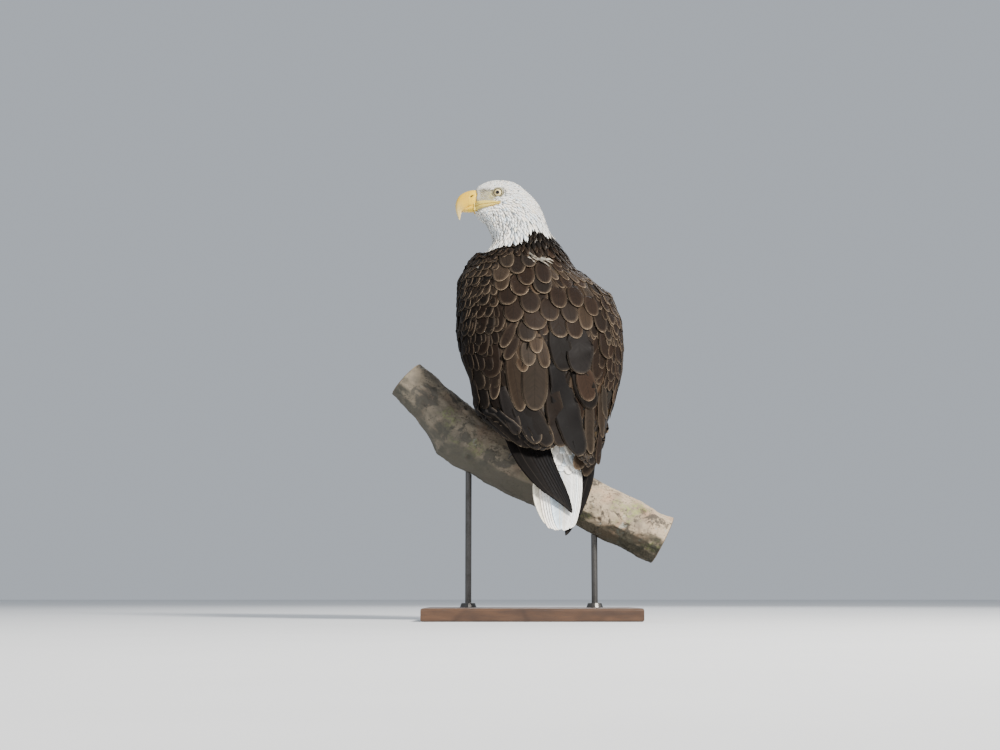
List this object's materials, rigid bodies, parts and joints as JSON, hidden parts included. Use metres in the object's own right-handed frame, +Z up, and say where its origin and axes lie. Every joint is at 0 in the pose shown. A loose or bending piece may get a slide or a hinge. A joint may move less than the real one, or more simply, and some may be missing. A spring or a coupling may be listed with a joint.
{
  "type": "perched bald eagle figure",
  "caption": "Life-size bald eagle with closed wings, turned head and white tail, perched on a cut length of branch that rods hold over a flat rectangular base.",
  "frame": {"origin": "centre of the underside of the stand base, on the floor", "axes": "+Z up; +X along the long side of the base, towards the branch's low end, and the bill points towards -X; +Y across the base, and the bird's back is towards -Y"},
  "size_m": [0.5421, 0.3029, 0.8579],
  "materials": {
    "white_plumage": "matt white feathers",
    "brown_plumage": "matt dark brown feathers with pale edges",
    "flight_feathers": "satin blackish brown flight feathers",
    "white_tail": "matt white tail feathers",
    "bill": "smooth satin yellow horn",
    "eye": "glossy pale yellow with a black pupil",
    "foot_skin": "scaled yellow skin",
    "claw": "smooth black horn",
    "bark": "weathered bark with sawn ends",
    "stand_wood": "dark stained satin",
    "stand_steel": "satin"
  },
  "bodies": {
    "root": {"head": "white_plumage", "neck": "white_plumage", "trunk": "brown_plumage", "wing_left": "brown_plumage", "wing_right": "brown_plumage", "primaries_left": "flight_feathers", "primaries_right": "flight_feathers", "tail": "white_tail", "thigh_left": "brown_plumage", "thigh_right": "brown_plumage", "bill_upper": "bill", "bill_lower": "bill", "eye_left": "eye", "eye_right": "eye", "shank_left": "foot_skin", "shank_right": "foot_skin", "foot_left": "foot_skin", "foot_right": "foot_skin", "claw_left_inner": "claw", "claw_left_middle": "claw", "claw_left_outer": "claw", "claw_left_hind": "claw", "claw_right_inner": "claw", "claw_right_middle": "claw", "claw_right_outer": "claw", "claw_right_hind": "claw", "perch": "bark", "stand_base": "stand_wood", "stand_rod_1": "stand_steel", "stand_rod_2": "stand_steel"}
  },
  "joints": []
}
